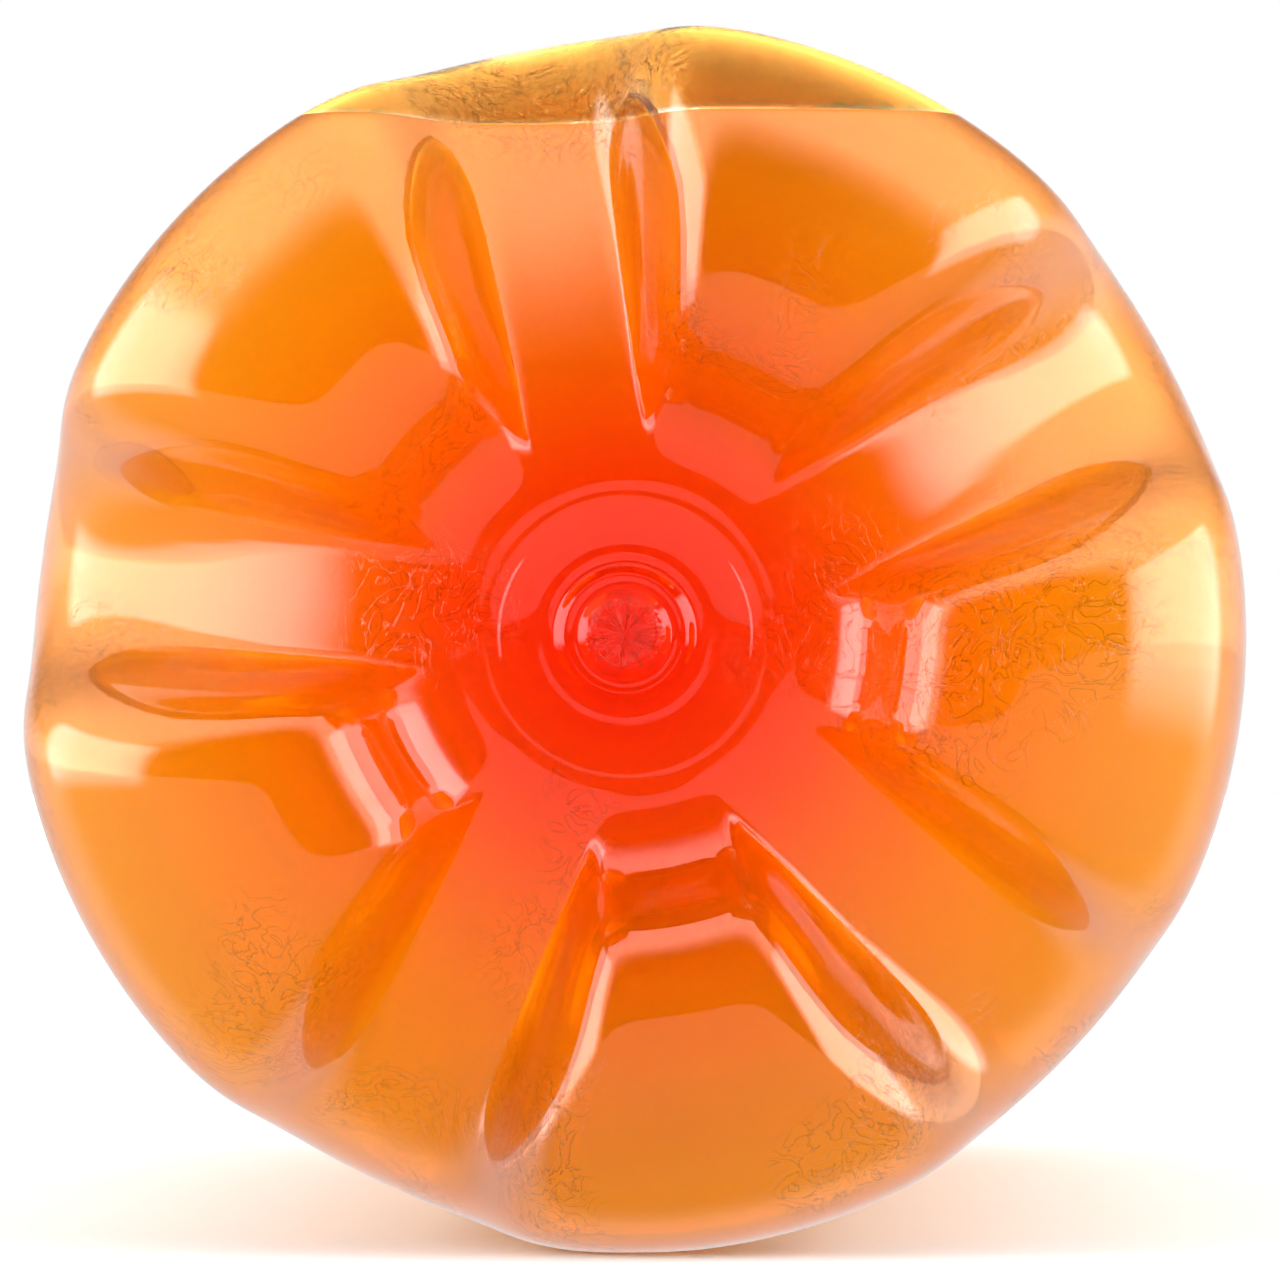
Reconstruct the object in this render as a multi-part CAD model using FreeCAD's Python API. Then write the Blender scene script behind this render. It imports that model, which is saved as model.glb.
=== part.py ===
# A clear plastic drink bottle with a five-lobed base, lying on its side, full of a slightly
# cloudy orange drink and closed by a screw cap.  Millimetres.
#
# Every piece is first made upright: the bottle's axis is Z, the feet stand on z = 0 and the
# mouth is at the top.  lay_down() then turns the finished pieces into the part's own frame:
# the axis runs along +Y from the base to the mouth, the side rests on Z = 0, and the origin
# is under the middle of the whole length.  The side that ends lowest is at +Y upright.
import FreeCAD, Part
import math
import os

os.makedirs("parts", exist_ok=True)

# ---------------------------------------------------------------- driving dimensions
# body
body_diameter = 65.0          # largest diameter, over the straight side
side_height = 105.0           # straight side, between the base and the shoulder
shoulder_height = 52.0        # from the straight side up to the neck
shoulder_round = 50.0         # radius of the convex part of the shoulder
body_wall = 0.34              # wall of the side and the feet
rest_flat_width = 7.0         # the thin side is pressed flat this wide along where it lies
# base
lobes = 5                     # feet, with a strap between each two
strap_height = 30.5           # height where the straps run into the straight side
foot_height = 16.0            # height where the feet reach the full diameter
push_up = 4.4                 # clearance under the middle of the base
standing_diameter = 38.0      # circle through the middles of the foot pads
pad_depth = 0.15              # how much of each rounded foot is flattened to a pad
strap_half_width_inner = 2.5  # half the strap's width beside the centre disc
strap_half_width_outer = 5.7  # half the strap's width at the straight side
foot_squareness_inner = 3.0   # 2 is a round foot, larger is squarer with steeper flanks
foot_squareness_outer = 9.0
crease_round_inner = 0.30     # softness of the crease where a strap meets a foot
crease_round_outer = 3.0      # towards the straight side the crease fades away
foot_turn = 7.3               # angle of one foot about the axis, degrees
# thick disc in the middle of the base
disc_diameter = 16.6          # edge of the plain disc, where the feet begin
disc_wall = 1.9               # wall at the middle of the disc
disc_edge_wall = 1.1          # wall where the lobes begin
ring_step = 0.12              # height of each fine moulded step on the disc
gate_diameter = 4.1           # the broken gate
gate_height = 1.2             # how far it stands out of the disc
gate_collar_diameter = 6.2    # raised collar round the gate
gate_collar_height = 0.45
gate_hollow = 0.15            # how far the gate's broken face is dished
collar_slope_width = 0.9      # from the collar's edge down to the disc
step_radii = [4.6, 6.6, 7.5]  # where the fine moulded steps lie
step_width = 0.25
# neck, a 28 mm short screw finish
neck_diameter = 24.94         # root of the thread
neck_wall = 1.6
thread_depth = 1.23
thread_pitch = 2.7
thread_wrap = 650.0           # degrees
thread_first = 8.1            # middle of the first turn, below the top of the neck
thread_root_width = 1.5
thread_crest_width = 0.7
vent_slots = 4
vent_width = 3.0
bead_depth = 1.53             # bead that holds the tamper band, beyond the neck
bead_top = 10.3               # below the top of the neck
bead_height = 1.8
ring_diameter = 33.0          # support ring
ring_top = 15.0               # below the top of the neck
ring_height = 2.0
neck_below_ring = 4.0
lower_neck_diameter = 26.4
lip_round = 0.4
ring_chamfer = 0.4
root_chamfer = 0.3            # where the support ring meets the neck above it
bead_chamfer = 0.2
bead_land = 0.7               # full-width part of the bead, from its lower face
# cap
cap_wall = 1.2
cap_top = 1.5                 # thickness of the cap's end
cap_edge_round = 1.1
cap_thread_share = 0.9        # the cap's thread is this much narrower than the neck's
cap_thread_short = 90.0       # and this many degrees shorter
cap_skirt = 9.3               # how far the skirt reaches down from the top of the neck
liner_thickness = 0.8
liner_inset = 0.9             # from the cap's inner wall
band_height = 4.4
band_chamfer = 0.3
band_fold_depth = 0.75        # how far the folded edge reaches in under the bead
band_fold_height = 1.6
band_bridges = 12
bridge_width = 0.5
bridge_inset = 0.1            # from the band's inner face
# drink
fill_level = 27.0             # the drink's surface above the axis, bottle on its side

# ---------------------------------------------------------------- clearances
film = 0.06                   # between the drink and the wall
thread_clearance = 0.30       # between cap and neck, on the radius
band_clearance = 0.30         # between the tamper band and the bead
drink_to_liner = 0.30
band_to_cap = 0.50
thread_bury = 0.25            # how far a thread runs into the wall that carries it
bridge_bury = 0.05            # and a bridge into the band

# ---------------------------------------------------------------- worked-out sizes
body_radius = body_diameter / 2
axis_height = math.sqrt(body_radius ** 2 - (rest_flat_width / 2) ** 2)
disc_radius = disc_diameter / 2
neck_radius = neck_diameter / 2
bore_radius = neck_radius - neck_wall
thread_radius = neck_radius + thread_depth
bead_radius = neck_radius + bead_depth
cap_inner_radius = thread_radius + thread_clearance
cap_radius = cap_inner_radius + cap_wall
lower_neck_radius = lower_neck_diameter / 2
shoulder_start = strap_height + side_height
neck_start = shoulder_start + shoulder_height
neck_top = neck_start + neck_below_ring + ring_height + ring_top
overall_length = neck_top + liner_thickness + cap_top
lobe_angle = 2 * math.pi / lobes
seam_width = 0.3              # narrow bands where the lobes meet the turned faces
side_start = strap_height + seam_width


def point(radius, height):
    return FreeCAD.Vector(radius, 0, height)


# ---------------------------------------------------------------- the lobed base
# A strap and a foot each have an outline from the disc's edge (s = 0) to the straight side
# (s = 1).  Round the bottle the wall blends from one outline to the other.

def strap_rise():
    return strap_height - push_up


def strap_angle(s):
    first = math.asin(disc_radius / body_radius)
    return first + (math.pi / 2 - first) * s


def strap_outline(s):
    angle = strap_angle(s)
    return (body_radius * math.sin(angle),
            push_up + strap_rise() * (1 - math.cos(angle)))


def disc_edge_height():
    return strap_outline(0.0)[1]


def foot_controls():
    """Control points of a foot's outline, as (radius, height)."""
    edge = disc_edge_height()
    pad = standing_diameter / 2
    inner = pad - disc_radius
    reach = body_radius - pad
    slope = strap_rise() * disc_radius / body_radius ** 2
    lead = 1.6
    straight = strap_height - foot_height
    return [
        (disc_radius, edge),
        (disc_radius + lead, edge + lead * slope),
        (disc_radius + 0.36 * inner, edge * 0.93),
        (disc_radius + 0.58 * inner, edge * 0.30),
        (disc_radius + 0.76 * inner, -pad_depth),
        (pad + 0.20 * reach, -pad_depth),
        (pad + 0.48 * reach, foot_height * 0.04),
        (pad + 0.75 * reach, foot_height * 0.16),
        (pad + 0.94 * reach, foot_height * 0.40),
        (body_radius, foot_height * 0.70),
        (body_radius, foot_height),
        (body_radius, foot_height + 0.32 * straight),
        (body_radius, foot_height + 0.68 * straight),
        (body_radius, strap_height),
    ]


def spline_value(controls, s):
    """Point at s on the clamped cubic B-spline of the control points."""
    degree = 3
    spans = len(controls) - degree
    knots = [0.0] * degree + [i / spans for i in range(spans + 1)] + [1.0] * degree
    span = min(int(s * spans), spans - 1) + degree
    work = [controls[span - degree + i] for i in range(degree + 1)]
    for level in range(1, degree + 1):
        for i in range(degree, level - 1, -1):
            low = knots[span - degree + i]
            high = knots[span + 1 + i - level]
            share = (s - low) / (high - low)
            work[i] = tuple((1 - share) * a + share * b for a, b in zip(work[i - 1], work[i]))
    return work[degree]


def ramp(distance, softness):
    return (distance + math.sqrt(distance ** 2 + softness ** 2)) / 2


def outward(radius, inner, outer, power=1):
    """From inner at the disc's edge to outer at the full diameter."""
    share = (radius - disc_radius) / (body_radius - disc_radius)
    return inner + max(share, 0.0) ** power * (outer - inner)


def strap_half_width(radius):
    return outward(radius, strap_half_width_inner, strap_half_width_outer)


def foot_share(radius, turn):
    """0 on a strap and 1 on the ridge of a foot; turn is measured from the strap's middle."""
    half_lobe = lobe_angle / 2
    turn = abs(turn)
    edge = strap_half_width(radius)
    softness = outward(radius, crease_round_inner, crease_round_outer, 3)
    across = ramp(radius * turn - edge, softness) / ramp(radius * half_lobe - edge, softness)
    squareness = outward(radius, foot_squareness_inner, foot_squareness_outer)
    return 1 - (1 - min(across, 1.0)) ** squareness


def outer_point(s, turn):
    strap = strap_outline(s)
    foot = spline_value(foot_controls(), s)
    share = foot_share(strap[0], turn)
    radius = strap[0] + share * (foot[0] - strap[0])
    height = strap[1] + share * (foot[1] - strap[1])
    return FreeCAD.Vector(radius * math.cos(turn), radius * math.sin(turn), height)


def wall_at(s):
    return body_wall + (disc_edge_wall - body_wall) * (1 - s) ** 2.5


def inward(s, turn):
    """Unit normal that points into the bottle."""
    if s < 1e-6:
        slope = strap_rise() * math.tan(strap_angle(0.0)) / body_radius
        lean = math.atan(slope)
        return FreeCAD.Vector(-math.sin(lean) * math.cos(turn),
                              -math.sin(lean) * math.sin(turn), math.cos(lean))
    if s > 1 - 1e-6:
        return FreeCAD.Vector(-math.cos(turn), -math.sin(turn), 0)
    step = 1e-4
    along = outer_point(s + step / 2, turn) - outer_point(s - step / 2, turn)
    if s < step or s > 1 - step:
        along = outer_point(min(s + step, 1), turn) - outer_point(max(s - step, 0), turn)
    around = outer_point(s, turn + step) - outer_point(s, turn - step)
    normal = along.cross(around)
    normal.normalize()
    return normal


def lobe_rows():
    rows = 34
    return [i / rows for i in range(rows + 1)]


def lobe_columns(radius):
    """Turns across one lobe, from strap middle to strap middle, close together at the creases."""
    half_lobe = lobe_angle / 2
    crease = strap_half_width(radius) / radius
    on_strap = [0.0, 0.25, 0.5, 0.7, 0.84, 0.93]
    across_foot = [0.0, 0.022, 0.05, 0.085, 0.125, 0.175, 0.235, 0.31, 0.40, 0.51, 0.65, 0.82, 1.0]
    half = [crease * share for share in on_strap]
    half += [crease + (half_lobe - crease) * share for share in across_foot]
    return half + [lobe_angle - turn for turn in reversed(half[:-1])]


def lobe_face(depth):
    """One lobe's face at depth(s) inside the outer skin."""
    grid = []
    for s in lobe_rows():
        radius = strap_outline(s)[0]
        row = []
        for turn in lobe_columns(radius):
            folded = turn if turn <= lobe_angle / 2 else turn - lobe_angle
            place = outer_point(s, folded)
            if depth is not None:
                place = place + inward(s, folded) * depth(s)
            if folded != turn:
                angle = lobe_angle
                x, y = place.x, place.y
                place = FreeCAD.Vector(x * math.cos(angle) - y * math.sin(angle),
                                       x * math.sin(angle) + y * math.cos(angle), place.z)
            row.append(place)
        grid.append(row)
    surface = Part.BSplineSurface()
    surface.interpolate(grid)
    return surface.toShape()


def arc_across_lobe(radius, height):
    ends = [0.0, lobe_angle / 2, lobe_angle]
    places = [FreeCAD.Vector(radius * math.cos(t), radius * math.sin(t), height) for t in ends]
    return Part.Arc(*places).toShape()


def lobe_faces(depth, disc_end, side_end):
    """A lobe's face, with a narrow band at each end that runs on to a true circle."""
    face = lobe_face(depth)
    level = [e for e in face.Edges if abs(e.Vertexes[0].Z - e.Vertexes[-1].Z) < 1e-6]
    level.sort(key=lambda e: e.Vertexes[0].Z)
    bands = [Part.makeRuledSurface(level[0], arc_across_lobe(disc_end.x, disc_end.z)),
             Part.makeRuledSurface(level[-1], arc_across_lobe(side_end.x, side_end.z))]
    return [turned for shape in [face] + bands for turned in around_axis(shape)]


def around_axis(shape):
    """One copy for each lobe, the strap middles half a lobe away from foot_turn."""
    copies = []
    for i in range(lobes):
        copy = shape.copy()
        turn = foot_turn + (i - 0.5) * 360.0 / lobes
        copy.rotate(FreeCAD.Vector(0, 0, 0), FreeCAD.Vector(0, 0, 1), turn)
        copies.append(copy)
    return copies


# ---------------------------------------------------------------- turned outlines
def shoulder_edges(start_radius, start_height, end_radius, end_height):
    """A convex arc then a hollow one, upright at both ends."""
    across = start_radius - end_radius
    along = end_height - start_height
    bend = 2 * math.atan(across / along)
    hollow_round = along / math.sin(bend) - shoulder_round
    centre = start_radius - shoulder_round
    middle = point(centre + shoulder_round * math.cos(bend),
                   start_height + shoulder_round * math.sin(bend))
    first = point(centre + shoulder_round * math.cos(bend / 2),
                  start_height + shoulder_round * math.sin(bend / 2))
    hollow_centre = end_radius + hollow_round
    second = point(hollow_centre - hollow_round * math.cos(bend / 2),
                   end_height - hollow_round * math.sin(bend / 2))
    return [Part.Arc(point(start_radius, start_height), first, middle).toShape(),
            Part.Arc(middle, second, point(end_radius, end_height)).toShape()]


def line(a, b):
    return Part.LineSegment(a, b).toShape()


def polyline(points):
    return [line(a, b) for a, b in zip(points, points[1:])]


def disc_height(radius):
    """Outer face of the plain disc, which carries on the straps' dome."""
    angle = math.asin(radius / body_radius)
    return push_up + strap_rise() * (1 - math.cos(angle))


def outer_disc_edges():
    """From the axis to the first lobes: gate, collar and the fine moulded steps."""
    gate = gate_diameter / 2
    collar = gate_collar_diameter / 2
    collar_foot = collar + collar_slope_width
    gate_low = disc_height(0) - gate_height
    collar_low = disc_height(collar) - gate_collar_height
    points = [point(0, gate_low + gate_hollow), point(gate * 0.72, gate_low),
              point(gate, gate_low + 0.35), point(gate * 1.06, collar_low + 0.25),
              point(collar * 0.93, collar_low), point(collar, collar_low + 0.12),
              point(collar_foot, disc_height(collar_foot))]
    height = 0.0
    for radius, change in zip(step_radii, [ring_step, -ring_step, ring_step]):
        points.append(point(radius, disc_height(radius) + height))
        height += change
        points.append(point(radius + step_width, disc_height(radius + step_width) + height))
    points.append(disc_end_outside())
    return polyline(points)


def disc_end_outside():
    radius = disc_radius - seam_width
    return point(radius, disc_height(radius))


def inner_disc_edges(depth_edge, depth_middle):
    """Inner face of the disc, an arc from the lobes' inner band to the axis."""
    edge = disc_end_inside(depth_edge)
    low = point(0, disc_height(0) + depth_middle)
    span = disc_radius * 0.5
    mean = (depth_edge + depth_middle) / 2
    middle = point(span, disc_height(span) + mean + 0.1)
    return [Part.Arc(edge, middle, low).toShape()]


def disc_end_inside(depth):
    edge = lobe_edge(depth)
    slope = strap_rise() * disc_radius / body_radius ** 2
    return point(edge.x - seam_width, edge.z - seam_width * slope * 0.6)


def lobe_edge(depth):
    normal = inward(0.0, 0.0)
    return point(disc_radius + normal.x * depth, disc_edge_height() + normal.z * depth)


def finish_edges():
    """Outside of the neck, from the shoulder up to the lip and over it into the bore."""
    ring_low = neck_top - ring_top - ring_height
    ring_high = neck_top - ring_top
    neck = neck_radius
    bead = bead_radius
    ring = ring_diameter / 2
    bead_high = neck_top - bead_top
    bead_low = bead_high - bead_height
    bore = bore_radius
    lower = [point(lower_neck_radius, neck_start), point(lower_neck_radius, ring_low),
             point(ring - ring_chamfer, ring_low), point(ring, ring_low + ring_chamfer),
             point(ring, ring_high - ring_chamfer), point(ring - ring_chamfer, ring_high),
             point(neck + root_chamfer, ring_high), point(neck, ring_high + root_chamfer),
             point(neck, bead_low), point(bead - bead_chamfer, bead_low),
             point(bead, bead_low + bead_chamfer),
             point(bead, bead_low + bead_land), point(neck, bead_high),
             point(neck, neck_top - lip_round)]
    corner = lip_round * (1 - math.sqrt(0.5))
    lip_out = Part.Arc(point(neck, neck_top - lip_round),
                       point(neck - corner, neck_top - corner),
                       point(neck - lip_round, neck_top)).toShape()
    lip_in = Part.Arc(point(bore + lip_round, neck_top),
                      point(bore + corner, neck_top - corner),
                      point(bore, neck_top - lip_round)).toShape()
    top = line(point(neck - lip_round, neck_top), point(bore + lip_round, neck_top))
    return polyline(lower) + [lip_out, top, lip_in]


def revolve(edges):
    """Turned faces, in one sector for each lobe so that their edges meet the lobes' edges."""
    faces = []
    for edge in edges:
        sector = edge.revolve(FreeCAD.Vector(0, 0, 0), FreeCAD.Vector(0, 0, 1), 360.0 / lobes)
        faces += around_axis(sector)
    return faces


def closed_solid(faces):
    shell = Part.makeCompound([f for face in faces for f in face.Faces])
    shell.sewShape(1e-3)
    shells = shell.Shells
    if len(shells) != 1 or not shells[0].isClosed():
        raise RuntimeError("the skin did not close: %d shells" % len(shells))
    solid = Part.Solid(shells[0])
    if solid.Volume < 0:
        solid.reverse()
    return solid


def inside_depth(extra):
    return lambda s: wall_at(s) + extra


def cavity_edges(extra):
    """Inside of the side, shoulder and neck, from the base up, extra further in than the wall."""
    side = body_radius - body_wall - extra
    bore = bore_radius - extra
    bore_start = neck_start + neck_below_ring / 2
    edges = [line(point(side, side_start), point(side, shoulder_start))]
    edges += shoulder_edges(side, shoulder_start, bore, bore_start)
    return edges, point(bore, bore_start)


def cavity_base(extra):
    side_end = point(body_radius - body_wall - extra, side_start)
    faces = lobe_faces(inside_depth(extra), disc_end_inside(disc_edge_wall + extra), side_end)
    return faces + revolve(inner_disc_edges(disc_edge_wall + extra, disc_wall + extra))


def helical_ridge(buried, root, crest, widths, wrap, start_height, start_turn):
    """A tapering ridge that climbs right-handed, from the radius where it is buried in its
    wall to the crest; widths are those at the root and at the crest."""
    path = Part.makeHelix(thread_pitch, thread_pitch * wrap / 360.0, (root + crest) / 2)
    wide, narrow = widths[0] / 2, widths[1] / 2
    outline = [point(buried, -wide), point(root, -wide), point(crest, -narrow),
               point(crest, narrow), point(root, wide), point(buried, wide)]
    profile = Part.makePolygon(outline + [outline[0]])
    ridge = Part.Wire(path.Edges).makePipeShell([profile], True, True)
    if ridge.Volume < 0:
        ridge.reverse()
    ridge.rotate(FreeCAD.Vector(0, 0, 0), FreeCAD.Vector(0, 0, 1), start_turn)
    ridge.translate(FreeCAD.Vector(0, 0, start_height))
    return ridge


# ---------------------------------------------------------------- the pieces
def beyond(height):
    """Everything further than height from the axis, on the side that the bottle lies on."""
    return Part.makeBox(4 * body_radius, body_radius, 2 * overall_length,
                        FreeCAD.Vector(-2 * body_radius, height, -overall_length / 2))


def cavity(extra, end_height):
    """The bottle's inside up to end_height, extra inside its wall."""
    edges, top = cavity_edges(extra)
    end = polyline([top, point(top.x, end_height), point(0, end_height)])
    return closed_solid(cavity_base(extra) + revolve(edges + end))


def make_bottle():
    lobes_end = point(body_radius, side_start)
    outside = lobe_faces(None, disc_end_outside(), lobes_end) + revolve(outer_disc_edges())
    side = [line(lobes_end, point(body_radius, shoulder_start))]
    side += shoulder_edges(body_radius, shoulder_start, lower_neck_radius, neck_start)
    outside += revolve(side + finish_edges())
    edges, top = cavity_edges(0.0)
    mouth = point(bore_radius, neck_top - lip_round)
    inside = cavity_base(0.0) + revolve(edges + [line(top, mouth)])
    solid = closed_solid(outside + inside)
    below = Part.makeBox(4 * body_radius, 4 * body_radius, 2 * body_radius,
                         FreeCAD.Vector(-2 * body_radius, -2 * body_radius, -2 * body_radius))
    solid = solid.cut(below)
    pressed_in = cavity(0.0, neck_top).common(beyond(axis_height - body_wall))
    solid = solid.fuse(pressed_in).cut(beyond(axis_height))
    ridge = helical_ridge(neck_radius - thread_bury, neck_radius, thread_radius,
                          (thread_root_width, thread_crest_width), thread_wrap,
                          neck_top - thread_first, 0.0)
    for i in range(vent_slots):
        slot = Part.makeBox(neck_diameter, vent_width, ring_top,
                            FreeCAD.Vector(0, -vent_width / 2, neck_top - ring_top))
        slot.rotate(FreeCAD.Vector(0, 0, 0), FreeCAD.Vector(0, 0, 1), (i + 0.5) * 360 / vent_slots)
        ridge = ridge.cut(slot)
    return solid.fuse(ridge)


def make_drink():
    full = cavity(film, neck_top - drink_to_liner)
    air = Part.makeBox(4 * body_radius, body_radius, 2 * neck_top,
                       FreeCAD.Vector(-2 * body_radius, -fill_level - body_radius, -neck_top / 2))
    return full.cut(air).cut(beyond(axis_height - body_wall - film))


def turned_solid(points):
    face = Part.Face(Part.makePolygon(points + [points[0]]))
    return face.revolve(FreeCAD.Vector(0, 0, 0), FreeCAD.Vector(0, 0, 1), 360)


def make_liner():
    radius = cap_inner_radius - liner_inset
    top = neck_top + liner_thickness
    return turned_solid([point(0, neck_top), point(radius, neck_top), point(radius, top),
                         point(0, top)])


def make_cap_shell():
    outer = cap_radius
    inner = cap_inner_radius
    low = neck_top - cap_skirt
    under = neck_top + liner_thickness
    high = under + cap_top
    shell = turned_solid([point(0, under), point(inner, under), point(inner, low),
                          point(outer, low), point(outer, high - cap_edge_round),
                          point(outer - cap_edge_round * 0.3, high - cap_edge_round * 0.3),
                          point(outer - cap_edge_round, high), point(0, high)])
    crest = neck_radius + thread_clearance
    widths = (thread_root_width * cap_thread_share, thread_crest_width * cap_thread_share)
    ridge = helical_ridge(inner + thread_bury, inner, crest, widths,
                          thread_wrap - cap_thread_short, neck_top - thread_first, 180.0)
    return shell.fuse(ridge)


def make_tamper_band():
    outer = cap_radius
    high = neck_top - cap_skirt - band_to_cap
    low = high - band_height
    wide = bead_radius + band_clearance
    fold = bead_radius - band_fold_depth
    band = turned_solid([point(wide, high), point(outer, high),
                         point(outer, low + band_chamfer), point(outer - band_chamfer, low),
                         point(fold, low),
                         point(fold, low + band_fold_height * 0.6),
                         point(wide, low + band_fold_height)])
    stubs = []
    for i in range(band_bridges):
        stub = Part.makeBox(outer - wide - 3 * bridge_inset, bridge_width, band_to_cap / 2,
                            FreeCAD.Vector(wide + bridge_inset, -bridge_width / 2,
                                           high - bridge_bury))
        stub.rotate(FreeCAD.Vector(0, 0, 0), FreeCAD.Vector(0, 0, 1), i * 360 / band_bridges)
        stubs.append(stub)
    return band.fuse(stubs)


def lay_down(shape):
    """From upright to lying: the axis turns to +Y and the side comes down on Z = 0."""
    shape = shape.copy()
    shape.rotate(FreeCAD.Vector(0, 0, 0), FreeCAD.Vector(1, 0, 0), -90)
    shape.translate(FreeCAD.Vector(0, -overall_length / 2, axis_height))
    return shape


def main():
    pieces = {
        "bottle": make_bottle(),
        "drink": make_drink(),
        "cap_liner": make_liner(),
        "cap_shell": make_cap_shell(),
        "tamper_band": make_tamper_band(),
    }
    for name, shape in pieces.items():
        lying = lay_down(shape)
        lying.exportStep("parts/%s.step" % name)
        box = lying.optimalBoundingBox(False, False)
        print("%-12s %9.1f mm3  valid %s  solids %d  x %.2f..%.2f  y %.2f..%.2f  z %.2f..%.2f"
              % (name, lying.Volume, lying.isValid(), len(lying.Solids), box.XMin, box.XMax,
                 box.YMin, box.YMax, box.ZMin, box.ZMax))


main()
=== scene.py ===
import math

import bmesh
import bpy
import numpy as np
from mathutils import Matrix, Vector


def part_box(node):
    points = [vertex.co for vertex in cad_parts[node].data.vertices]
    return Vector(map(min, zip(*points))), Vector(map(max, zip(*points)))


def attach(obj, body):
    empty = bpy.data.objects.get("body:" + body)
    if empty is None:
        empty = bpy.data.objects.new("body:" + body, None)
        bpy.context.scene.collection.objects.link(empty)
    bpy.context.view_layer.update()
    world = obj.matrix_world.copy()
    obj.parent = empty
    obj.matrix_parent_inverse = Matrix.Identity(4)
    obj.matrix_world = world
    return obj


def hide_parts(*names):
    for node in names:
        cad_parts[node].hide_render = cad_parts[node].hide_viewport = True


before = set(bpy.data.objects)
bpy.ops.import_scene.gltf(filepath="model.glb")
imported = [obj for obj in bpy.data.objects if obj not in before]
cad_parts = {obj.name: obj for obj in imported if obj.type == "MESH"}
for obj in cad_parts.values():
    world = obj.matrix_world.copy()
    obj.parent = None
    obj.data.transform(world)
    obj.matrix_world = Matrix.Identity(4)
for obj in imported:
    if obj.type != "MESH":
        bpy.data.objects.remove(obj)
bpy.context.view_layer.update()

# A clear plastic drink bottle lies on its side with its lobed base to the front.  It holds a
# slightly cloudy orange drink, with some air along the top, and is closed by a screw cap.
#
# Shapes are worked out upright, in millimetres: the axis is the height, the feet stand at
# height 0 and the mouth is at the top.  place() lays them down in the frame, in metres.

# ------------------------------------------------------------------ sizes, millimetres
body_low, body_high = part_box("bottle")
cap_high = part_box("cap_shell")[1]
body_radius = (body_high.x - body_low.x) * 500
rest_flat_width = 7.0
axis_height = math.sqrt(body_radius ** 2 - (rest_flat_width / 2) ** 2)
length = (cap_high.y - body_low.y) * 1000
neck_top = (body_high.y - body_low.y) * 1000
body_wall = 0.34
# lobed base
lobes = 5
strap_height = 30.5
foot_height = 16.0
push_up = 4.4
pad_radius = 19.0
pad_depth = 0.15
strap_half_width_inner = 2.5
strap_half_width_outer = 5.7
foot_squareness_inner = 3.0
foot_squareness_outer = 9.0
crease_round_inner = 0.30
crease_round_outer = 3.0
foot_turn = 7.3
disc_radius = 8.3
gate_radius = 1.9            # the torn face of the gate
disc_wall = 1.9
disc_edge_wall = 1.1
# shoulder and neck, heights measured down from the top of the neck
ring_top = 15.0
ring_height = 2.0
neck_below_ring = 4.0
shoulder_height = 52.0
shoulder_round = 50.0
lower_neck_radius = 13.2
bore_radius = 10.87
neck_radius = 12.47
thread_radius = 13.7
thread_pitch = 2.7
thread_first = 8.1
thread_turns = 650.0 / 360
ring_radius = 16.5
bead_radius = 14.0
bead_top = 10.3
bead_height = 1.8
# drink
fill_level = 27.0
into_wall = 0.05             # the drink's skin lies this far into the wall
film_off_wall = 0.10         # the film above the level, inside the wall
film_off_level = 0.25        # the film's lower edge, above the level
film_thickness = 0.22

# ------------------------------------------------------------------ looks
clear_colour = (0.997, 0.998, 0.998, 1)
edge_shade_and_film_colour = (0.74, 0.40, 0.07, 1)  # painted darker shade on the wall at the heel where it is seen edge-on, and the drink's tint on the wall above the level
film_thin_colour = (0.50, 0.27, 0.05, 1)
film_thick_colour = (0.42, 0.19, 0.02, 1)
cap_light = (0.47, 0.47, 0.465, 1)
cap_dark = (0.40, 0.40, 0.395, 1)
cap_roughness = 0.30
liner_light = (0.44, 0.44, 0.43, 1)
liner_dark = (0.38, 0.38, 0.375, 1)
liner_roughness = 0.55
plastic_ior = 1.57
drink_ior = 1.34
film_ior = 1.05              # below a real film's, so that it tints the wall and bends little
dye_colour = (1.0, 0.72, 0.0, 1)
dye_density = 12.0           # per metre
haze_density = 22.0          # per metre
# painted shade of the drink by share of the radius, from the axis outwards, near the base: deeper
# red towards the axis stands in for light passing through more drink
painted_depth_shades = [(0.0, (1, 0.0, 0.0, 1)), (0.28, (1, 0.004, 0.0, 1)), (0.44, (1, 0.05, 0.0, 1)),
                (0.62, (1, 0.20, 0.0, 1)), (0.82, (1, 0.34, 0.0, 1)), (0.97, (1, 0.52, 0.05, 1))]
least_ramp_share_off_base = 0.66             # away from the base, the least share of the radius at which the painted shade is read
# brightness of the surroundings for each kind of ray
world_gathered = 6.2         # passed through the bottle, from behind it
world_gathered_front = 0.05  # passed through the bottle, from in front of it
world_mirrored = 0.8         # mirrored, from behind it
world_mirrored_front = 0.02  # mirrored, from in front of it
world_overhead = 0.12        # share of what is mirrored that comes from overhead
world_diffuse = 1.05
world_camera = 1.0

neck_start = neck_top - ring_top - ring_height - neck_below_ring
shoulder_start = neck_start - shoulder_height
lobe_angle = 2 * math.pi / lobes
first_angle = math.asin(disc_radius / body_radius)


def place(upright):
    """Upright millimetres to the frame: the axis to +Y, the side down on Z = 0, metres."""
    upright = np.asarray(upright, float)
    return np.stack([upright[..., 0], upright[..., 2] - length / 2,
                     axis_height - upright[..., 1]], -1) / 1000


# ------------------------------------------------------------------ the lobed base
def strap_outline(s):
    angle = first_angle + (math.pi / 2 - first_angle) * s
    return body_radius * np.sin(angle), push_up + (strap_height - push_up) * (1 - np.cos(angle))


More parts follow.
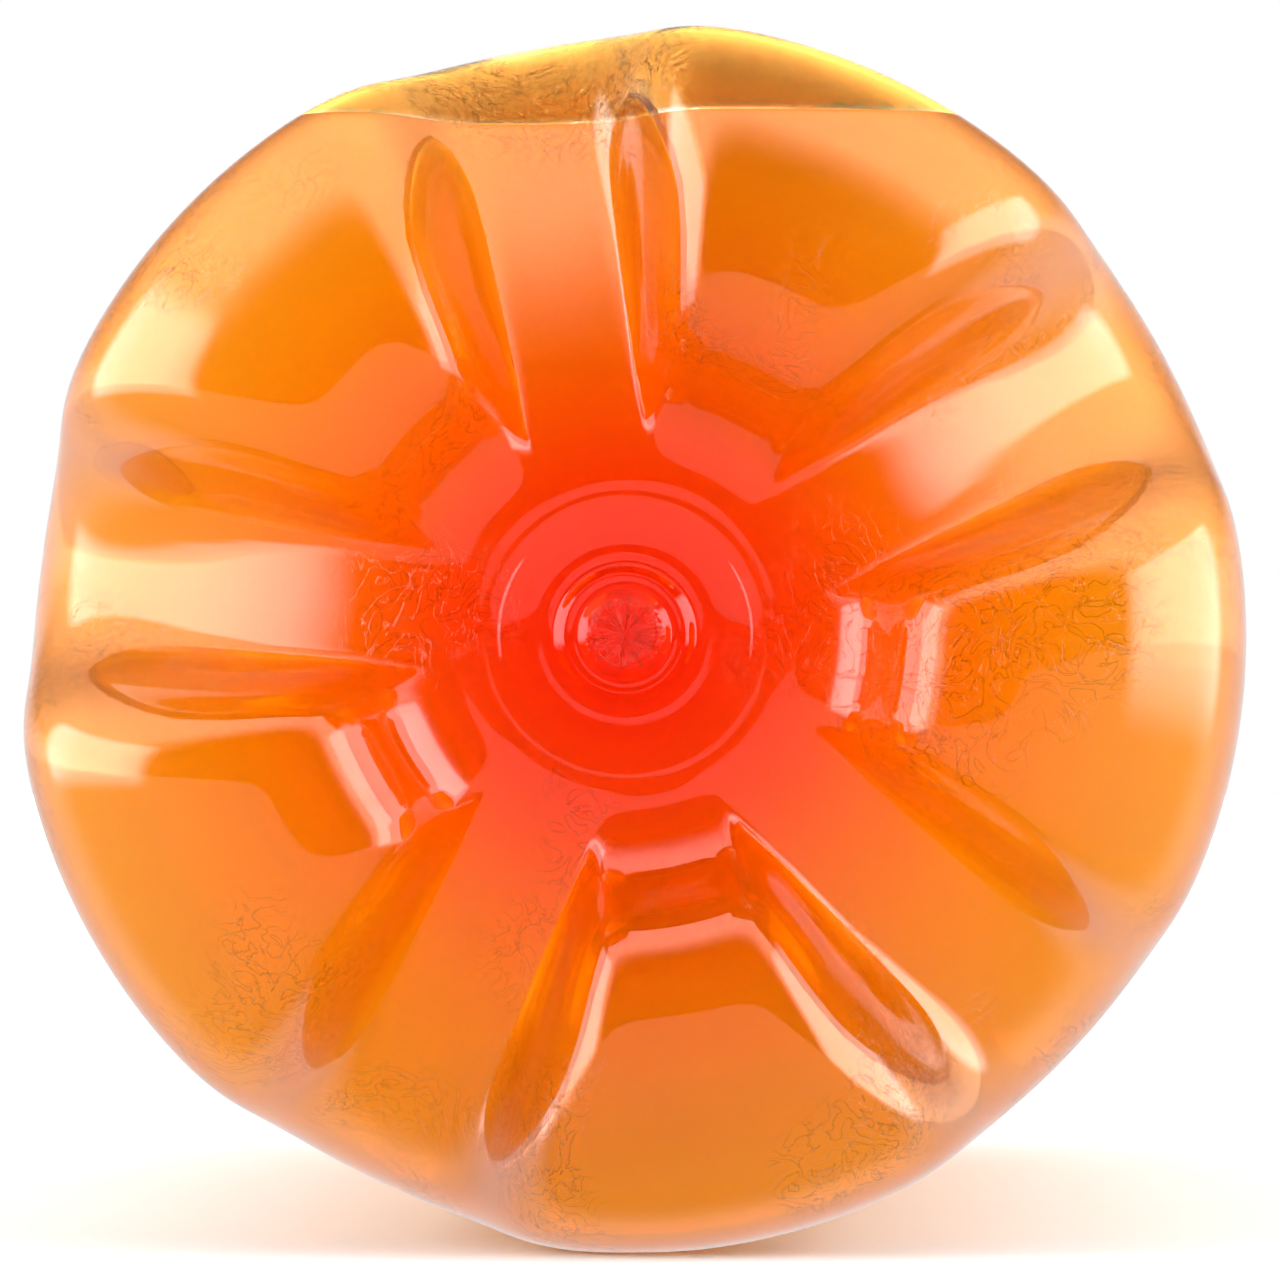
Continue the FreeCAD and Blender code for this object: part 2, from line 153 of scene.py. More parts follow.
def foot_controls():
    edge = strap_outline(0.0)[1]
    reach = body_radius - pad_radius
    inner = pad_radius - disc_radius
    slope = (strap_height - push_up) * disc_radius / body_radius ** 2
    lead = 1.6
    straight = strap_height - foot_height
    return np.array([
        (disc_radius, edge),
        (disc_radius + lead, edge + lead * slope),
        (disc_radius + 0.36 * inner, edge * 0.93),
        (disc_radius + 0.58 * inner, edge * 0.30),
        (disc_radius + 0.76 * inner, -pad_depth),
        (pad_radius + 0.20 * reach, -pad_depth),
        (pad_radius + 0.48 * reach, foot_height * 0.04),
        (pad_radius + 0.75 * reach, foot_height * 0.16),
        (pad_radius + 0.94 * reach, foot_height * 0.40),
        (body_radius, foot_height * 0.70),
        (body_radius, foot_height),
        (body_radius, foot_height + 0.32 * straight),
        (body_radius, foot_height + 0.68 * straight),
        (body_radius, strap_height),
    ])


def spline_point(controls, s):
    """Point at s on the clamped cubic B-spline of the controls."""
    degree = 3
    spans = len(controls) - degree
    knots = [0.0] * degree + [i / spans for i in range(spans + 1)] + [1.0] * degree
    span = min(int(s * spans), spans - 1) + degree
    work = [controls[span - degree + i] for i in range(degree + 1)]
    for level in range(1, degree + 1):
        for i in range(degree, level - 1, -1):
            low = knots[span - degree + i]
            high = knots[span + 1 + i - level]
            share = (s - low) / (high - low)
            work[i] = (1 - share) * work[i - 1] + share * work[i]
    return work[degree]


def foot_outline(s):
    points = np.array([spline_point(foot_controls(), value) for value in np.ravel(s)])
    return points[:, 0].reshape(np.shape(s)), points[:, 1].reshape(np.shape(s))


def outward(radius, inner, outer, power=1):
    """From inner at the disc's edge to outer at the full diameter."""
    share = np.maximum((radius - disc_radius) / (body_radius - disc_radius), 0.0)
    return inner + share ** power * (outer - inner)


def strap_half_width(radius):
    return outward(radius, strap_half_width_inner, strap_half_width_outer)


def ramp(distance, softness):
    return (distance + np.sqrt(distance ** 2 + softness ** 2)) / 2


def foot_share(radius, turn):
    edge = strap_half_width(radius)
    softness = outward(radius, crease_round_inner, crease_round_outer, 3)
    across = (ramp(radius * np.abs(turn) - edge, softness)
              / ramp(radius * lobe_angle / 2 - edge, softness))
    squareness = outward(radius, foot_squareness_inner, foot_squareness_outer)
    return 1 - (1 - np.minimum(across, 1.0)) ** squareness


def lobe_surface(s, turn):
    """Outer skin at s (disc edge to straight side) and turn (from the nearest strap's middle)."""
    strap = strap_outline(s)
    foot = foot_outline(s[:, :1])
    share = foot_share(strap[0], turn)
    radius = strap[0] + share * (foot[0] - strap[0])
    height = strap[1] + share * (foot[1] - strap[1])
    return np.stack([radius * np.cos(turn), radius * np.sin(turn), height], -1)


def lobe_columns(radius, per_half):
    """Turns over half a lobe, close together at the crease between strap and foot."""
    on_strap = max(4, int(per_half * 0.28))
    on_foot = per_half - on_strap
    crease = strap_half_width(radius) / radius
    strap_share = 1 - (1 - np.arange(on_strap) / on_strap) ** 1.6
    foot_share_at = (np.arange(on_foot + 1) / on_foot) ** 1.8
    return np.concatenate([crease * strap_share,
                           crease + (lobe_angle / 2 - crease) * foot_share_at])


def full_turns(radii, per_half):
    """Every column's turn and its turn from the nearest strap, for rows of these radii."""
    turns, folded = [], []
    for radius in radii:
        half = lobe_columns(radius, per_half)
        one = np.concatenate([half, lobe_angle - half[-2:0:-1]])
        turns.append(np.concatenate([one + i * lobe_angle for i in range(lobes)]))
        near = np.where(one <= lobe_angle / 2 + 1e-9, one, one - lobe_angle)
        folded.append(np.tile(near, lobes))
    return np.array(turns), np.array(folded)


def lobe_rings(rows, per_half, depth):
    """Rings of the lobed part, depth(s) inside the outer skin."""
    s = np.linspace(0, 1, rows)[:, None]
    radii = strap_outline(s[:, 0])[0]
    turns, folded = full_turns(radii, per_half)
    grid = lobe_surface(np.repeat(s, turns.shape[1], 1), folded)
    if depth is not None:
        step = 1e-4
        ahead = np.clip(s + step, 0, 1)
        behind = np.clip(s - step, 0, 1)
        along = (lobe_surface(np.repeat(ahead, turns.shape[1], 1), folded)
                 - lobe_surface(np.repeat(behind, turns.shape[1], 1), folded))
        sideways = (lobe_surface(np.repeat(s, turns.shape[1], 1), folded + step)
                    - lobe_surface(np.repeat(s, turns.shape[1], 1), folded - step))
        normal = np.cross(along, sideways)
        normal /= np.linalg.norm(normal, axis=-1, keepdims=True)
        grid = grid + normal * depth(s)[..., None]
    offset = turns - folded
    x = grid[..., 0] * np.cos(offset) - grid[..., 1] * np.sin(offset)
    y = grid[..., 0] * np.sin(offset) + grid[..., 1] * np.cos(offset)
    return np.stack([x, y, grid[..., 2]], -1)


def wall_depth(s):
    return body_wall + (disc_edge_wall - body_wall) * (1 - s) ** 2.5


# ------------------------------------------------------------------ turned outlines
def disc_height(radius):
    angle = np.arcsin(np.asarray(radius) / body_radius)
    return push_up + (strap_height - push_up) * (1 - np.cos(angle))


def rounded(points, radius, steps=3):
    """The open outline with each corner turned into a small arc."""
    points = [np.array(p, float) for p in points]
    result = [points[0]]
    for before, corner, after in zip(points, points[1:], points[2:]):
        a, b = before - corner, after - corner
        reach = min(radius, 0.42 * np.linalg.norm(a), 0.42 * np.linalg.norm(b))
        start = corner + a / np.linalg.norm(a) * reach
        end = corner + b / np.linalg.norm(b) * reach
        for i in range(steps + 1):
            t = i / steps
            result.append((1 - t) ** 2 * start + 2 * t * (1 - t) * corner + t ** 2 * end)
    result.append(points[-1])
    return result


def shoulder_points(start_radius, start, end_radius, end, steps):
    """A convex arc then a hollow one, upright at both ends."""
    bend = 2 * math.atan((start_radius - end_radius) / (end - start))
    hollow = (end - start) / math.sin(bend) - shoulder_round
    points = []
    for i in range(steps):
        angle = bend * i / steps
        points.append((start_radius - shoulder_round * (1 - math.cos(angle)),
                       start + shoulder_round * math.sin(angle)))
    for i in range(steps + 1):
        angle = bend * (1 - i / steps)
        points.append((end_radius + hollow * (1 - math.cos(angle)),
                       end - hollow * math.sin(angle)))
    return points


def outer_disc_points():
    """Gate stub, collar, bowl and the fine moulded rings, from the axis outwards."""
    stub = ((0.0, -0.55), (1.25, -0.6), (1.75, -0.75))
    relief = ((2.1, -0.62), (2.45, -0.25), (2.75, -0.3), (3.05, -0.42), (3.35, -0.26),
              (3.7, 0.06), (4.4, 0.05), (4.62, -0.06), (5.6, -0.05), (6.45, -0.03),
              (6.68, 0.07), (7.3, 0.06), (7.5, -0.03), (7.9, -0.01))
    bowl = [(radius, float(disc_height(0)) + lift) for radius, lift in stub]
    bowl += [(radius, float(disc_height(radius)) + lift) for radius, lift in relief]
    return rounded(bowl, 0.16, 2) + [(disc_radius, float(disc_height(disc_radius)))]


def finish_points():
    """Outside of the neck from the shoulder up, over the lip and into the bore."""
    ring_low = neck_top - ring_top - ring_height
    ring_high = neck_top - ring_top
    bead_high = neck_top - bead_top
    bead_low = bead_high - bead_height
    lip = 0.4
    outline = [(lower_neck_radius, neck_start + 0.2), (lower_neck_radius, ring_low),
               (ring_radius - 0.4, ring_low), (ring_radius, ring_low + 0.4),
               (ring_radius, ring_high - 0.5), (ring_radius - 0.5, ring_high),
               (neck_radius + 0.3, ring_high), (neck_radius, ring_high + 0.3),
               (neck_radius, bead_low), (bead_radius - 0.2, bead_low),
               (bead_radius, bead_low + 0.2), (bead_radius, bead_low + 0.7),
               (neck_radius, bead_high), (neck_radius, neck_top - lip),
               (neck_radius - lip, neck_top), (bore_radius + lip, neck_top),
               (bore_radius, neck_top - lip), (bore_radius, neck_top - 2.0)]
    return rounded(outline, 0.22, 2)


def rings_of(points, turns):
    rings = []
    for radius, height in points:
        rings.append(np.stack([radius * np.cos(turns), radius * np.sin(turns),
                               np.full_like(turns, height)], -1))
    return rings


def cavity_rings(turns, deeper):
    """Inside of the side, shoulder and bore, from the base up."""
    side = body_radius - body_wall - deeper
    bore = bore_radius - deeper
    bore_start = neck_start + neck_below_ring / 2
    heights = np.linspace(strap_height, shoulder_start, side_rows)[1:-1]
    points = [(side, height) for height in heights]
    points += shoulder_points(side, shoulder_start, bore, bore_start, shoulder_rows)
    return rings_of(points, turns)


def inner_disc_points(deeper):
    """Inside of the disc from its edge to the axis, deeper than the wall's inner face."""
    edge_angle = math.atan((strap_height - push_up) * math.tan(first_angle) / body_radius)
    depth = disc_edge_wall + deeper
    edge_radius = disc_radius - math.sin(edge_angle) * depth
    edge_height = float(disc_height(disc_radius)) + math.cos(edge_angle) * depth
    top = float(disc_height(0)) + disc_wall + deeper
    points = []
    for i in range(1, disc_rows + 1):
        share = 1 - i / disc_rows
        points.append((edge_radius * share, top + (edge_height - top) * share ** 2))
    return points


def skin(name, rings, pole_first, pole_last, lying_depths):
    """A closed mesh from rings of points, with a pole at either end; faces point outwards.

    lying_depths says for each ring how far it stays from the surface the bottle lies on.
    """
    columns = len(rings[0])
    rings = [np.asarray(ring) for ring in rings]
    turned = np.radians(foot_turn - 180.0 / lobes)
    vertices = [np.array([[0, 0, pole_first]])] + rings + [np.array([[0, 0, pole_last]])]
    upright = np.concatenate(vertices)
    x = upright[:, 0] * math.cos(turned) - upright[:, 1] * math.sin(turned)
    y = upright[:, 0] * math.sin(turned) + upright[:, 1] * math.cos(turned)
    depths = [0.0] + [depth for depth in lying_depths for _ in range(columns)] + [0.0]
    y = np.minimum(y, axis_height - np.array(depths))
    laid = place(np.stack([x, y, upright[:, 2]], -1))
    faces = []
    first = 1
    last = len(laid) - 1
    for j in range(columns):
        k = (j + 1) % columns
        faces.append((0, first + j, first + k))
    for i in range(len(rings) - 1):
        low, high = first + i * columns, first + (i + 1) * columns
        for j in range(columns):
            k = (j + 1) % columns
            faces.append((low + j, high + j, high + k, low + k))
    low = first + (len(rings) - 1) * columns
    for j in range(columns):
        k = (j + 1) % columns
        faces.append((low + k, low + j, last))
    mesh = bpy.data.meshes.new(name)
    mesh.from_pydata(laid.tolist(), [], faces)
    return finish_mesh(name, mesh)


def finish_mesh(name, mesh):
    work = bmesh.new()
    work.from_mesh(mesh)
    bmesh.ops.recalc_face_normals(work, faces=work.faces)
    for face in work.faces:
        face.smooth = True
    work.to_mesh(mesh)
    work.free()
    mesh.update()
    piece = bpy.data.objects.new(name, mesh)
    bpy.context.scene.collection.objects.link(piece)
    return piece


lobe_steps = 74
half_columns = 26
side_rows = 12
shoulder_rows = 14
disc_rows = 12
torn_height = 0.24
side_turns = full_turns([body_radius], half_columns)[0][0]
disc_turns = full_turns([disc_radius], half_columns)[0][0]


def make_bottle_skin():
    outer = outer_disc_points()
    rings = rings_of(outer[1:-1], disc_turns)
    torn = np.random.default_rng(5)
    for ring in rings:
        if math.hypot(ring[0][0], ring[0][1]) < gate_radius:
            ring[:, 2] += torn.uniform(-torn_height, torn_height, len(ring))
    feet = lobe_rings(lobe_steps, half_columns, None)
    feet[..., 2] = np.maximum(feet[..., 2], 0.0)
    rings += list(feet)
    heights = np.linspace(strap_height, shoulder_start, side_rows)[1:-1]
    rings += rings_of([(body_radius, height) for height in heights], side_turns)
    rings += rings_of(shoulder_points(body_radius, shoulder_start, lower_neck_radius,
                                      neck_start, shoulder_rows), side_turns)
    rings += rings_of(finish_points(), side_turns)
    outside = len(rings)
    rings += reversed(cavity_rings(side_turns, 0.0))
    rings += reversed(list(lobe_rings(lobe_steps, half_columns, wall_depth)))
    inner = inner_disc_points(0.0)
    rings += rings_of(inner[:-1], disc_turns)
    depths = [0.0] * outside + [body_wall] * (len(rings) - outside)
    return skin("bottle_skin", rings, outer[0][1], inner[-1][1], depths)


def cut_flat(piece, height, keep_below):
    """Cuts the piece at this height in millimetres; the side kept is closed if it is below."""
    work = bmesh.new()
    work.from_mesh(piece.data)
    cut = bmesh.ops.bisect_plane(work, geom=work.verts[:] + work.edges[:] + work.faces[:],
                                 plane_co=(0, 0, height / 1000), plane_no=(0, 0, 1),
                                 clear_outer=keep_below, clear_inner=not keep_below)
    if keep_below:
        rim = [item for item in cut["geom_cut"] if isinstance(item, bmesh.types.BMEdge)]
        filled = bmesh.ops.holes_fill(work, edges=rim, sides=0)
        for face in filled["faces"]:
            face.smooth = False
        for edge in rim:
            edge.smooth = False
        bmesh.ops.recalc_face_normals(work, faces=work.faces)
    work.to_mesh(piece.data)
    work.free()


def make_drink_body():
    """The drink up to its level; its skin lies a little way into the wall."""
    deeper = -into_wall
    inner = inner_disc_points(deeper)
    rings = rings_of(inner[:-1][::-1], disc_turns)
    rings += list(lobe_rings(lobe_steps, half_columns, lambda s: wall_depth(s) + deeper))
    rings += cavity_rings(side_turns, deeper)
    end = neck_top - 0.05
    in_bore = bore_radius + into_wall
    rings += rings_of([(in_bore, end - 8.0), (in_bore, end), (bore_radius * 0.98, end)],
                      side_turns)
    depths = [body_wall - into_wall] * len(rings)
    piece = skin("drink_body", rings, inner[-1][1], end, depths)
    cut_flat(piece, axis_height + fill_level, True)
    return piece


def make_film():
    """The film of drink on the wall above the level, as one thin closed shell."""
    rings = list(lobe_rings(lobe_steps, half_columns, lambda s: wall_depth(s) + film_off_wall))
    rings += cavity_rings(side_turns, film_off_wall)
    middle = inner_disc_points(film_off_wall)[-1][1]
    piece = skin("drink_film", rings, middle, neck_top - 1.0,
                 [body_wall + film_off_wall] * len(rings))
    cut_flat(piece, axis_height + fill_level + film_off_level, False)
    shell = piece.modifiers.new("thickness", "SOLIDIFY")
    shell.thickness = film_thickness / 1000
    shell.offset = -1.0
    return converted(piece)


def converted(piece):
    """The piece with its modifiers worked into its mesh."""
    depsgraph = bpy.context.evaluated_depsgraph_get()
    mesh = bpy.data.meshes.new_from_object(piece.evaluated_get(depsgraph))
    piece.modifiers.clear()
    piece.data = mesh
    return piece


# ------------------------------------------------------------------ nodes
def smooth_step(tree, value, low, high, to_low=0.0, to_high=1.0):
    node = tree.nodes.new("ShaderNodeMapRange")
    node.interpolation_type = "SMOOTHSTEP"
    for name, number in (("From Min", low), ("From Max", high),
                         ("To Min", to_low), ("To Max", to_high)):
        node.inputs[name].default_value = number
    tree.links.new(value, node.inputs["Value"])
    return node.outputs["Result"]


def combine(tree, operation, first, second=None):
    node = tree.nodes.new("ShaderNodeMath")
    node.operation = operation
    for socket, value in zip(node.inputs, (first, second)):
        if isinstance(value, (int, float)):
            socket.default_value = value
        elif value is not None:
            tree.links.new(value, socket)
    return node.outputs[0]


def mixed_colour(tree, share, first, second):
    """The first colour where share is 0, the second where it is 1."""
    mix = tree.nodes.new("ShaderNodeMix")
    mix.data_type = "RGBA"
    mix.inputs[6].default_value = first
    mix.inputs[7].default_value = second
    tree.links.new(share, mix.inputs["Factor"])
    return mix.outputs[2]


def axes_of(tree, vector):
    """The X, Y and Z of a vector, as the outputs of one node."""
    split = tree.nodes.new("ShaderNodeSeparateXYZ")
    tree.links.new(vector, split.inputs[0])
    return split.outputs


def own_place(tree):
    return tree.nodes.new("ShaderNodeTexCoord").outputs["Object"]


def noise_of(tree, place_at, scale, detail):
    """Noise at a place in a piece's own coordinates."""
    noise = tree.nodes.new("ShaderNodeTexNoise")
    noise.inputs["Scale"].default_value = scale
    noise.inputs["Detail"].default_value = detail
    tree.links.new(place_at, noise.inputs["Vector"])
    return noise.outputs["Fac"]


# ------------------------------------------------------------------ ribs and thread
def new_geometry_group(name, inputs):
    group = bpy.data.node_groups.new(name, "GeometryNodeTree")
    for label, kind in inputs:
        group.interface.new_socket(label, in_out="INPUT", socket_type=kind)
    group.interface.new_socket("Geometry", in_out="OUTPUT", socket_type="NodeSocketGeometry")
    return group, group.nodes.new("NodeGroupInput"), group.nodes.new("NodeGroupOutput")


def lay_and_finish(group, geometry, given, result):
    """Turns upright geometry to lie along +Y at its station, and gives it its material."""
    move = group.nodes.new("GeometryNodeTransform")
    move.inputs["Rotation"].default_value = (math.radians(-90), 0, 0)
    station = group.nodes.new("ShaderNodeCombineXYZ")
    station.inputs["Z"].default_value = axis_height / 1000
    group.links.new(given.outputs["Station"], station.inputs["Y"])
    group.links.new(station.outputs[0], move.inputs["Translation"])
    group.links.new(geometry, move.inputs["Geometry"])
    realize = group.nodes.new("GeometryNodeRealizeInstances")
    group.links.new(move.outputs[0], realize.inputs[0])
    paint = group.nodes.new("GeometryNodeSetMaterial")
    group.links.new(realize.outputs[0], paint.inputs["Geometry"])
    group.links.new(given.outputs["Material"], paint.inputs["Material"])
    group.links.new(paint.outputs[0], result.inputs[0])


def make_rib_group():
    """A ring of grip ribs, each a slender rod half sunk in the cap."""
    inputs = (("Count", "NodeSocketInt"), ("Ring Radius", "NodeSocketFloat"),
              ("Rib Radius", "NodeSocketFloat"), ("Rib Length", "NodeSocketFloat"),
              ("Station", "NodeSocketFloat"), ("Material", "NodeSocketMaterial"))
    group, given, result = new_geometry_group("rib_ring", inputs)
    index = group.nodes.new("GeometryNodeInputIndex").outputs[0]
    turn = combine(group, "DIVIDE", combine(group, "MULTIPLY", index, 2 * math.pi),
                   given.outputs["Count"])
    spot = group.nodes.new("ShaderNodeCombineXYZ")
    for axis, operation in (("X", "COSINE"), ("Y", "SINE")):
        along = combine(group, "MULTIPLY", combine(group, operation, turn),
                        given.outputs["Ring Radius"])
        group.links.new(along, spot.inputs[axis])
    points = group.nodes.new("GeometryNodePoints")
    group.links.new(given.outputs["Count"], points.inputs["Count"])
    group.links.new(spot.outputs[0], points.inputs["Position"])
    rod = group.nodes.new("GeometryNodeMeshCylinder")
    rod.inputs["Vertices"].default_value = 10
    group.links.new(given.outputs["Rib Radius"], rod.inputs["Radius"])
    group.links.new(given.outputs["Rib Length"], rod.inputs["Depth"])
    copies = group.nodes.new("GeometryNodeInstanceOnPoints")
    group.links.new(points.outputs[0], copies.inputs["Points"])
    group.links.new(rod.outputs["Mesh"], copies.inputs["Instance"])
    lay_and_finish(group, copies.outputs[0], given, result)
    return group


def make_thread_group():
    """A ridge swept along a helix; it sinks into the neck at the four vents."""
    inputs = (("Turns", "NodeSocketFloat"), ("Rise", "NodeSocketFloat"),
              ("Radius", "NodeSocketFloat"), ("Ridge Radius", "NodeSocketFloat"),
              ("Station", "NodeSocketFloat"), ("Material", "NodeSocketMaterial"))
    group, given, result = new_geometry_group("thread_sweep", inputs)
    helix = group.nodes.new("GeometryNodeCurveSpiral")
    helix.inputs["Resolution"].default_value = 96
    for source, name in (("Turns", "Rotations"), ("Radius", "Start Radius"),
                         ("Radius", "End Radius"), ("Rise", "Height")):
        group.links.new(given.outputs[source], helix.inputs[name])
    axes = axes_of(group, group.nodes.new("GeometryNodeInputPosition").outputs[0])
    turn = combine(group, "ARCTAN2", axes["Y"], axes["X"])
    from_vent = combine(group, "ABSOLUTE",
                        combine(group, "COSINE", combine(group, "MULTIPLY", turn, 2.0)))
    vent_end, ridge_start, ridge_in_vent = 0.12, 0.30, 0.15
    swell = smooth_step(group, from_vent, vent_end, ridge_start, ridge_in_vent, 1.0)
    sized = group.nodes.new("GeometryNodeSetCurveRadius")
    group.links.new(helix.outputs[0], sized.inputs["Curve"])
    group.links.new(swell, sized.inputs["Radius"])
    outline = group.nodes.new("GeometryNodeCurvePrimitiveCircle")
    outline.inputs["Resolution"].default_value = 10
    group.links.new(given.outputs["Ridge Radius"], outline.inputs["Radius"])
    sweep = group.nodes.new("GeometryNodeCurveToMesh")
    sweep.inputs["Fill Caps"].default_value = True
    group.links.new(sized.outputs[0], sweep.inputs["Curve"])
    group.links.new(outline.outputs[0], sweep.inputs["Profile Curve"])
    group.links.new(swell, sweep.inputs["Scale"])
    lay_and_finish(group, sweep.outputs[0], given, result)
    return group


def built_by(name, group, values):
    """A piece made by a geometry group with these inputs, without its empty material slots."""
    mesh = bpy.data.meshes.new(name)
    piece = bpy.data.objects.new(name, mesh)
    bpy.context.scene.collection.objects.link(piece)
    maker = piece.modifiers.new("maker", "NODES")
    maker.node_group = group
    for item in group.interface.items_tree:
        if item.in_out == "INPUT" and item.name in values:
            maker[item.identifier] = values[item.name]
    converted(piece)
    for slot in reversed(range(len(piece.data.materials))):
        if piece.data.materials[slot] is None:
            piece.data.materials.pop(index=slot)
    for face in piece.data.polygons:
        face.use_smooth = True
    return piece


# ------------------------------------------------------------------ materials
def new_material(name):
    material = bpy.data.materials.new(name)
    material.use_nodes = True
    shader = material.node_tree.nodes["Principled BSDF"]
    return material, material.node_tree, shader


def make_wear_group():
    """Fine scratches and slow waves for any plastic, from a piece's own coordinates."""
    group = bpy.data.node_groups.new("plastic_wear", "ShaderNodeTree")
    group.interface.new_socket("Vector", in_out="INPUT", socket_type="NodeSocketVector")
    for name in ("Wave Scale", "Scratch Scale"):
        group.interface.new_socket(name, in_out="INPUT", socket_type="NodeSocketFloat")
    for name in ("Scratches", "Waves", "Cloud"):
        group.interface.new_socket(name, in_out="OUTPUT", socket_type="NodeSocketFloat")
    given = group.nodes.new("NodeGroupInput")
    result = group.nodes.new("NodeGroupOutput")

    def noise(scale, detail, distortion):
        node = group.nodes.new("ShaderNodeTexNoise")
        node.inputs["Detail"].default_value = detail
        node.inputs["Distortion"].default_value = distortion
        group.links.new(given.outputs["Vector"], node.inputs["Vector"])
        group.links.new(scale, node.inputs["Scale"])
        return node.outputs["Fac"]

    fine = noise(given.outputs["Scratch Scale"], 4.0, 2.5)
    ridge = combine(group, "ABSOLUTE", combine(group, "SUBTRACT", fine, 0.5))
    lines = smooth_step(group, ridge, 0.012, 0.0)
    patches = noise(given.outputs["Wave Scale"], 1.0, 0.4)
    worn = smooth_step(group, patches, 0.50, 0.68)
    group.links.new(combine(group, "MULTIPLY", lines, worn), result.inputs["Scratches"])
    group.links.new(patches, result.inputs["Waves"])
    group.links.new(worn, result.inputs["Cloud"])
    return group


def add_wear(tree, wear_group, wave_scale, scratch_scale):
    wear = tree.nodes.new("ShaderNodeGroup")
    wear.node_tree = wear_group
    tree.links.new(own_place(tree), wear.inputs["Vector"])
    wear.inputs["Wave Scale"].default_value = wave_scale
    wear.inputs["Scratch Scale"].default_value = scratch_scale
    return wear


def add_bump(tree, shader, height, distance):
    bump = tree.nodes.new("ShaderNodeBump")
    bump.inputs["Distance"].default_value = distance
    tree.links.new(height, bump.inputs["Height"])
    tree.links.new(bump.outputs["Normal"], shader.inputs["Normal"])


def make_clear(shader, ior):
    """A clear body, whose surface is smooth unless its roughness is linked."""
    shader.inputs["Transmission Weight"].default_value = 1.0
    shader.inputs["Roughness"].default_value = 0.0
    shader.inputs["IOR"].default_value = ior


def clear_plastic(wear_group):
    """Glossy and a little wavy, with fine scratches and a frosted gate; it has the drink's tint
    above the level, and a painted darker orange shade where it is seen edge-on, both only near the
    base."""
    material, tree, shader = new_material("clear_plastic")
    make_clear(shader, plastic_ior)
    wear = add_wear(tree, wear_group, 70.0, 420.0)
    place_at = own_place(tree)
    axes = axes_of(tree, place_at)
    # painted shade: near the base the wall turns darker orange where it is seen edge-on; above the
    # level it takes the drink's tint
    edge_on = tree.nodes.new("ShaderNodeLayerWeight")
    edge_on.inputs["Blend"].default_value = 0.5
    near_base = smooth_step(tree, axes["Y"], -0.060, -0.085)
    level = axis_height + fill_level
    above_level = smooth_step(tree, axes["Z"], level / 1000, (level + 0.5) / 1000)
    edge_or_above = combine(tree, "MAXIMUM", above_level,
                            smooth_step(tree, edge_on.outputs["Facing"], 0.45, 0.95))
    film_tint_or_edge_shade = combine(tree, "MULTIPLY", near_base, edge_or_above)
    tree.links.new(mixed_colour(tree, film_tint_or_edge_shade, clear_colour, edge_shade_and_film_colour),
                   shader.inputs["Base Color"])
    near_gate = smooth_step(tree, distance_from_axis(tree, place_at), 0.0021, 0.0015)
    at_base = smooth_step(tree, axes["Y"], -0.098, -0.100)
    frosted = combine(tree, "MULTIPLY", near_gate, at_base)
    grain = noise_of(tree, place_at, 2200.0, 3.0)
    scratched = combine(tree, "MULTIPLY", wear.outputs["Scratches"], 0.10)
    rough = combine(tree, "ADD", combine(tree, "MULTIPLY", frosted, 0.28), scratched)
    tree.links.new(combine(tree, "ADD", rough, 0.015), shader.inputs["Roughness"])
    torn = combine(tree, "MULTIPLY", frosted, combine(tree, "MULTIPLY", grain, 1.4))
    lines = combine(tree, "MULTIPLY", wear.outputs["Scratches"], 0.06)
    height = combine(tree, "ADD", combine(tree, "MULTIPLY", wear.outputs["Waves"], 0.5),
                     combine(tree, "ADD", torn, lines))
    add_bump(tree, shader, height, 0.00022)
    return material


def distance_from_axis(tree, place_at):
    """Metres from the bottle's axis."""
    axes = axes_of(tree, place_at)
    up = combine(tree, "SUBTRACT", axes["Z"], axis_height / 1000)
    square = combine(tree, "ADD", combine(tree, "MULTIPLY", up, up),
                     combine(tree, "MULTIPLY", axes["X"], axes["X"]))
    return combine(tree, "SQRT", square)


def orange_drink():
    """Slightly cloudy: the dye takes blue and some green, and a haze spreads what is left.

    Near the base its surface also has a painted shade from red at the axis to orange at the rim,
    in place of light passing through more drink towards the axis.
    """
    material, tree, shader = new_material("orange_drink")
    place_at = own_place(tree)
    from_axis = distance_from_axis(tree, place_at)
    # painted shade: this ramp deepens the drink's colour from orange at the rim to red at the
    # axis, near the base
    painted_depth_ramp = tree.nodes.new("ShaderNodeValToRGB")
    painted_depth_ramp.color_ramp.interpolation = "B_SPLINE"
    while len(painted_depth_ramp.color_ramp.elements) < len(painted_depth_shades):
        painted_depth_ramp.color_ramp.elements.new(0.5)
    for element, (spot, colour) in zip(painted_depth_ramp.color_ramp.elements, painted_depth_shades):
        element.position = spot
        element.color = colour
    off_base = smooth_step(tree, axes_of(tree, place_at)["Y"], -0.090, -0.050, 0.0, least_ramp_share_off_base)
    share = combine(tree, "DIVIDE", from_axis, body_radius / 1000)
    tree.links.new(combine(tree, "MAXIMUM", share, off_base), painted_depth_ramp.inputs["Fac"])
    tree.links.new(painted_depth_ramp.outputs["Color"], shader.inputs["Base Color"])
    make_clear(shader, drink_ior)
    dye = tree.nodes.new("ShaderNodeVolumeAbsorption")
    dye.inputs["Color"].default_value = dye_colour
    dye.inputs["Density"].default_value = dye_density
    haze = tree.nodes.new("ShaderNodeVolumeScatter")
    haze.inputs["Color"].default_value = (1, 1, 1, 1)
    haze.inputs["Density"].default_value = haze_density
    both = tree.nodes.new("ShaderNodeAddShader")
    tree.links.new(dye.outputs["Volume"], both.inputs[0])
    tree.links.new(haze.outputs["Volume"], both.inputs[1])
    tree.links.new(both.outputs[0], tree.nodes["Material Output"].inputs["Volume"])
    return material


